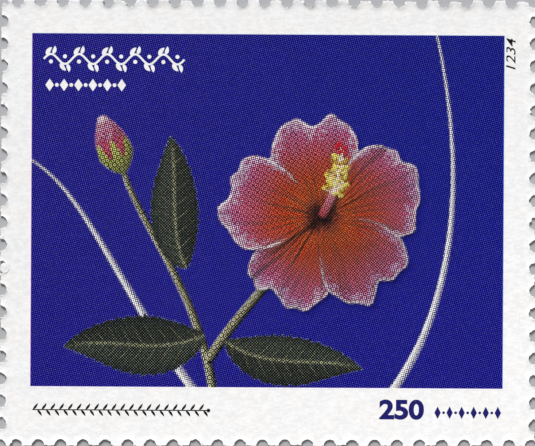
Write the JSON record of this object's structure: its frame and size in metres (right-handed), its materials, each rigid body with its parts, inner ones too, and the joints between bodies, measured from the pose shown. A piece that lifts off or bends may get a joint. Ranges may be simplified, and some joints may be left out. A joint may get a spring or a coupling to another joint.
{
  "type": "postage stamp",
  "caption": "Flat perforated postage stamp with a printed picture panel on white paper and dried gum on its back, to be stuck on by the gummed face.",
  "frame": {"origin": "middle of the stamp's outer box, on the gummed back", "axes": "+X along the long side, to the right of the printed picture, +Y up the picture, +Z out of the printed face"},
  "size_m": [0.0456, 0.038, 0.0001],
  "materials": {
    "paper": "smooth machine-finished stamp paper, printed in halftone",
    "gum": "dried gum film, softly glossy"
  },
  "bodies": {
    "root": {"paper": "paper", "gum": "gum"}
  },
  "joints": []
}
